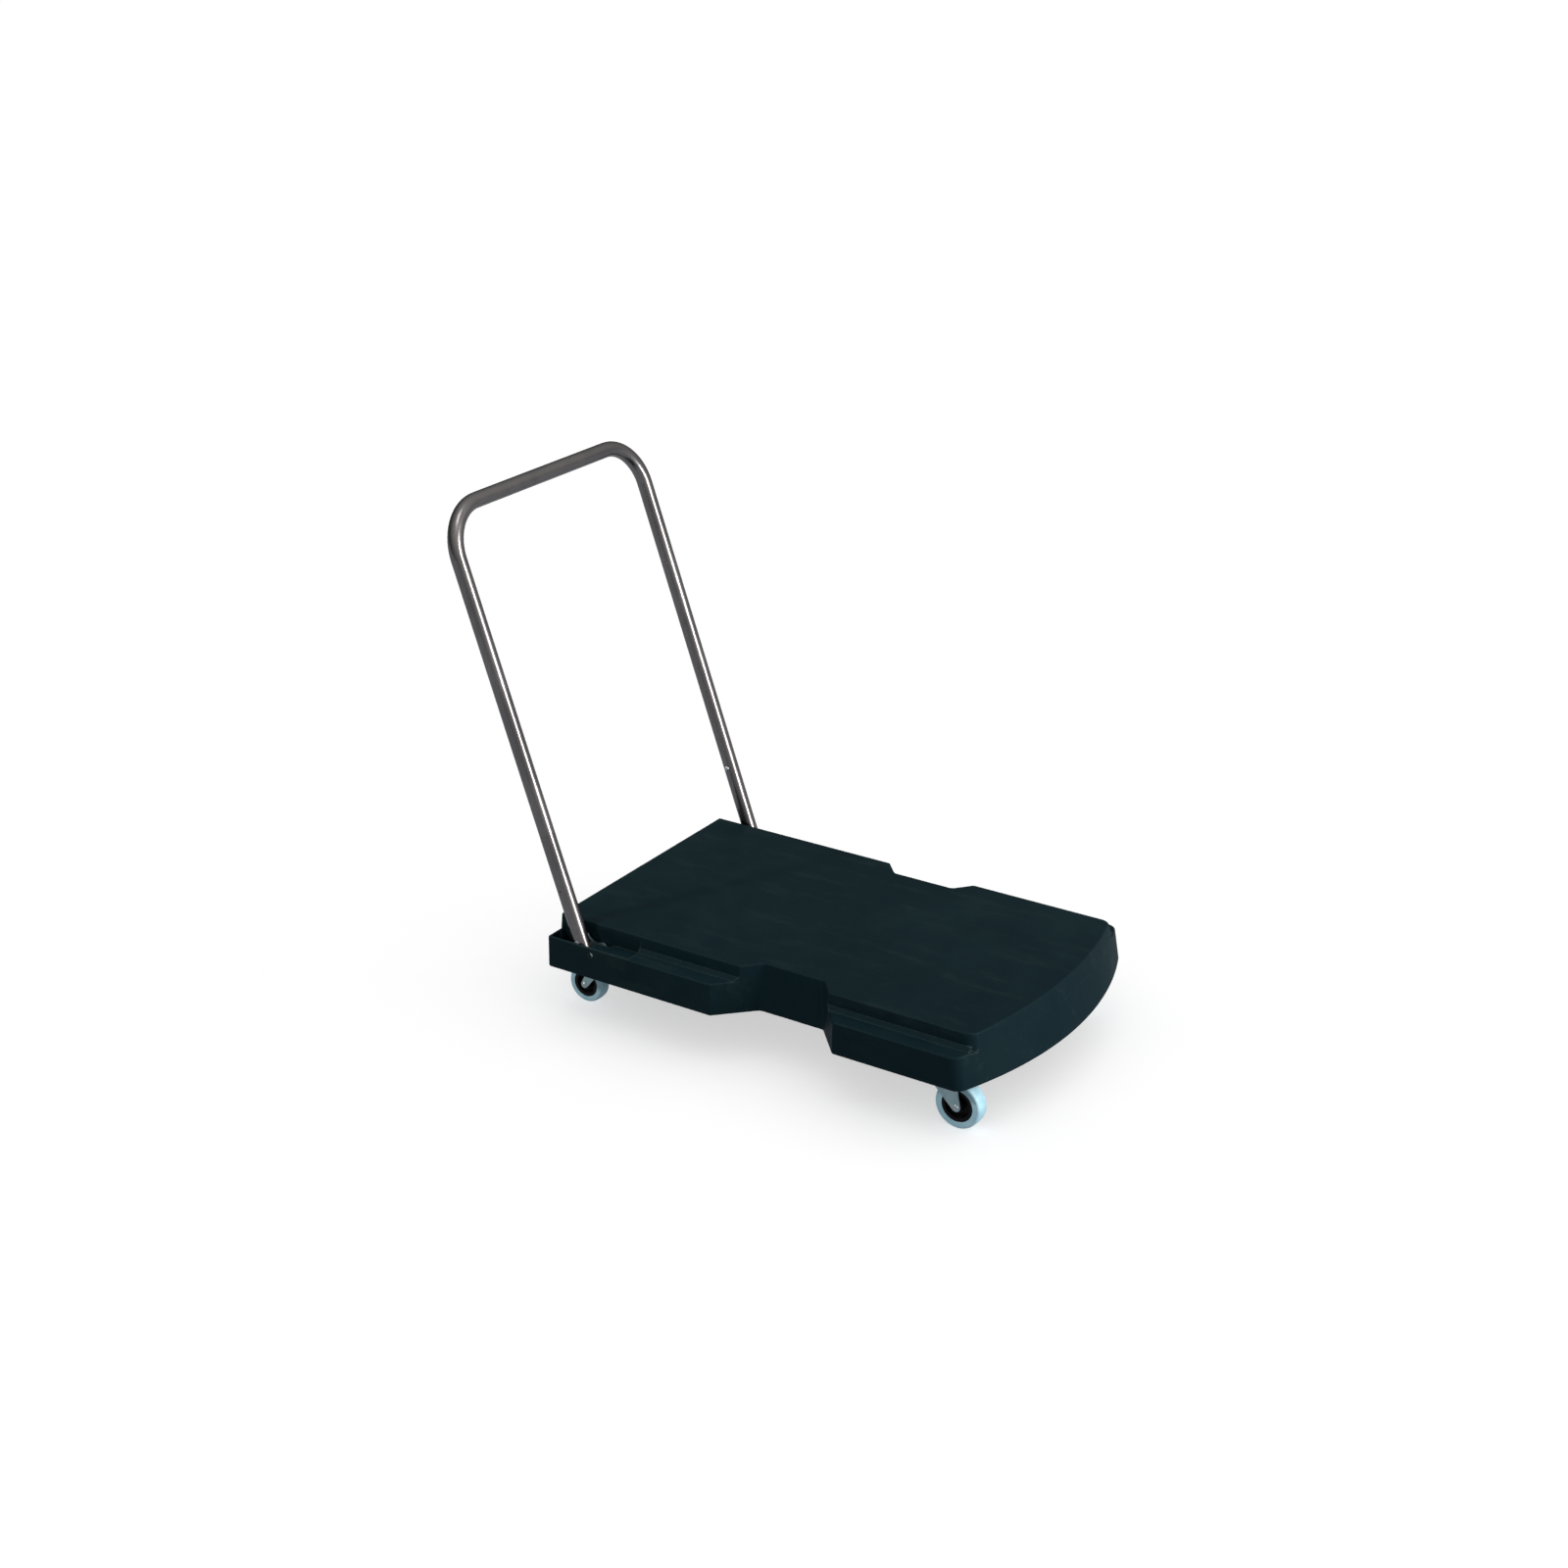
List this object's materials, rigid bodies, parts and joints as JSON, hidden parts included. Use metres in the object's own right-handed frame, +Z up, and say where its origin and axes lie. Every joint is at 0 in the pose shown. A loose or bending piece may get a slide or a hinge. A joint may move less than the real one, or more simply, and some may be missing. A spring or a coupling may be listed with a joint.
{
  "type": "folding platform trolley",
  "caption": "Low plastic platform trolley with grip notches, a fold-down steel tube handle and swivel casters.",
  "frame": {"origin": "on the floor under the middle of the whole trolley with the handle upright", "axes": "+X forward, away from the handle, +Y left, +Z up out of the load deck"},
  "size_m": [0.9998, 0.5238, 0.8158],
  "materials": {
    "platform_plastic": "satin moulded, near black",
    "zinc_tube": "bright zinc plated",
    "zinc_steel": "zinc plated pressed steel",
    "bright_steel": "bright steel",
    "spring_steel": "oiled spring steel",
    "ball_steel": "polished",
    "black_core": "satin moulded, black",
    "white_nylon": "natural nylon",
    "grey_tyre": "pale blue-grey non-marking tyre"
  },
  "bodies": {
    "platform": {"platform": "platform_plastic", "pivot_pin_left": "bright_steel", "pin_clip_left": "spring_steel", "pivot_pin_right": "bright_steel", "pin_clip_right": "spring_steel", "caster_screws_front_left": "bright_steel", "swivel_plate_front_left": "zinc_steel", "swivel_balls_front_left": "ball_steel", "kingpin_front_left": "zinc_steel", "thrust_washer_front_left": "zinc_steel", "caster_screws_front_right": "bright_steel", "swivel_plate_front_right": "zinc_steel", "swivel_balls_front_right": "ball_steel", "kingpin_front_right": "zinc_steel", "thrust_washer_front_right": "zinc_steel", "caster_screws_rear_left": "bright_steel", "swivel_plate_rear_left": "zinc_steel", "swivel_balls_rear_left": "ball_steel", "kingpin_rear_left": "zinc_steel", "thrust_washer_rear_left": "zinc_steel", "caster_screws_rear_right": "bright_steel", "swivel_plate_rear_right": "zinc_steel", "swivel_balls_rear_right": "ball_steel", "kingpin_rear_right": "zinc_steel", "thrust_washer_rear_right": "zinc_steel"},
    "handle": {"handle_bow": "zinc_tube", "lower_leg_left": "zinc_tube", "pivot_plate_left": "zinc_steel", "leg_rivets_left": "bright_steel", "snap_spring_left": "spring_steel", "lower_leg_right": "zinc_tube", "pivot_plate_right": "zinc_steel", "leg_rivets_right": "bright_steel", "snap_spring_right": "spring_steel"},
    "snap_button_left": {"snap_button_left": "bright_steel"},
    "snap_button_right": {"snap_button_right": "bright_steel"},
    "swivel_fork_front_left": {"swivel_fork_front_left": "zinc_steel", "axle_front_left": "bright_steel"},
    "wheel_front_left": {"wheel_core_front_left": "black_core", "tyre_front_left": "grey_tyre", "wheel_bush_front_left": "white_nylon"},
    "swivel_fork_front_right": {"swivel_fork_front_right": "zinc_steel", "axle_front_right": "bright_steel"},
    "wheel_front_right": {"wheel_core_front_right": "black_core", "tyre_front_right": "grey_tyre", "wheel_bush_front_right": "white_nylon"},
    "swivel_fork_rear_left": {"swivel_fork_rear_left": "zinc_steel", "axle_rear_left": "bright_steel"},
    "wheel_rear_left": {"wheel_core_rear_left": "black_core", "tyre_rear_left": "grey_tyre", "wheel_bush_rear_left": "white_nylon"},
    "swivel_fork_rear_right": {"swivel_fork_rear_right": "zinc_steel", "axle_rear_right": "bright_steel"},
    "wheel_rear_right": {"wheel_core_rear_right": "black_core", "tyre_rear_right": "grey_tyre", "wheel_bush_rear_right": "white_nylon"}
  },
  "joints": [
    {"name": "handle_fold", "type": "hinge", "parent": "platform", "child": "handle", "pos_m": [-0.22064, 0, 0.1252], "axis": [0, 1, 0], "range_deg": [0, 109.5]},
    {"name": "snap_button_left_press", "type": "slide", "parent": "handle", "child": "snap_button_left", "axis": [0, 1, 0], "range_m": [0, 0.0035], "stiffness_N_per_m": 800},
    {"name": "snap_button_right_press", "type": "slide", "parent": "handle", "child": "snap_button_right", "axis": [0, -1, 0], "range_m": [0, 0.0035], "stiffness_N_per_m": 800},
    {"name": "swivel_front_left", "type": "hinge", "parent": "platform", "child": "swivel_fork_front_left", "pos_m": [0.39836, 0.2125, 0.0812], "axis": [0, 0, 1], "continuous": true},
    {"name": "wheel_spin_front_left", "type": "hinge", "parent": "swivel_fork_front_left", "child": "wheel_front_left", "pos_m": [0.37336, 0.2125, 0.038], "axis": [0, 1, 0], "continuous": true},
    {"name": "swivel_front_right", "type": "hinge", "parent": "platform", "child": "swivel_fork_front_right", "pos_m": [0.39836, -0.2125, 0.0812], "axis": [0, 0, 1], "continuous": true},
    {"name": "wheel_spin_front_right", "type": "hinge", "parent": "swivel_fork_front_right", "child": "wheel_front_right", "pos_m": [0.42336, -0.2125, 0.038], "axis": [0, 1, 0], "continuous": true},
    {"name": "swivel_rear_left", "type": "hinge", "parent": "platform", "child": "swivel_fork_rear_left", "pos_m": [-0.25414, 0.1895, 0.0812], "axis": [0, 0, 1], "continuous": true},
    {"name": "wheel_spin_rear_left", "type": "hinge", "parent": "swivel_fork_rear_left", "child": "wheel_rear_left", "pos_m": [-0.27914, 0.1895, 0.0325], "axis": [0, 1, 0], "continuous": true},
    {"name": "swivel_rear_right", "type": "hinge", "parent": "platform", "child": "swivel_fork_rear_right", "pos_m": [-0.25414, -0.1895, 0.0812], "axis": [0, 0, 1], "continuous": true},
    {"name": "wheel_spin_rear_right", "type": "hinge", "parent": "swivel_fork_rear_right", "child": "wheel_rear_right", "pos_m": [-0.27914, -0.1895, 0.0325], "axis": [0, 1, 0], "continuous": true}
  ]
}
